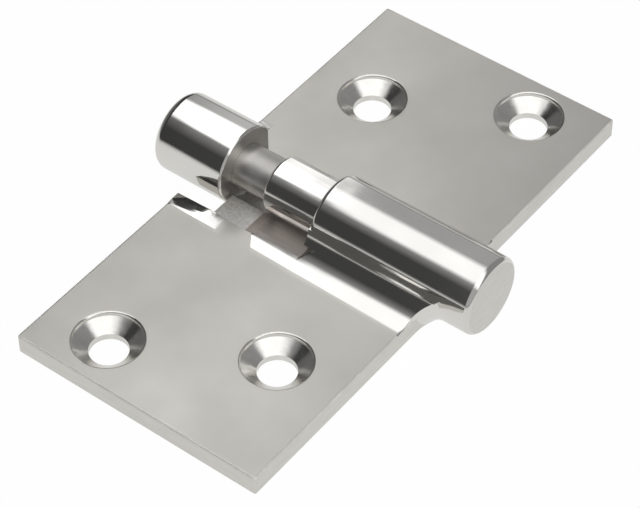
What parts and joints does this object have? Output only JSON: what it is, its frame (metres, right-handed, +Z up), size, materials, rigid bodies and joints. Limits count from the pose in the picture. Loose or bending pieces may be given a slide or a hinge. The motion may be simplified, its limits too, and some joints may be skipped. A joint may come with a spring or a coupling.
{
  "type": "lift-off hinge",
  "caption": "Cast stainless lift-off hinge lying open and flat: a leaf with a closed barrel, and a countersunk leaf whose headed pin slides out of the barrel.",
  "frame": {"origin": "under the middle of the pin line, on the plane of both undersides", "axes": "+X along the pin towards the barrel's closed end, +Y across the hinge towards the leaf that carries the pin, +Z up out of the leaf faces"},
  "size_m": [0.0536, 0.082, 0.0118],
  "materials": {
    "cast_steel": "satin leaf faces, polished barrel and head",
    "turned_steel": "polished journal, turned neck"
  },
  "bodies": {
    "barrel_leaf": {"barrel_leaf": "cast_steel"},
    "hinge_pin": {"hinge_pin": "turned_steel"},
    "pin_leaf": {"pin_leaf": "cast_steel"}
  },
  "joints": [
    {"name": "lift_off", "type": "slide", "parent": "barrel_leaf", "child": "hinge_pin", "axis": [-1, 0, 0], "range_m": [0, 0.03]},
    {"name": "swing", "type": "hinge", "parent": "hinge_pin", "child": "pin_leaf", "pos_m": [0, 0, 0.0059], "axis": [1, 0, 0], "range_deg": [-75, 180]}
  ]
}
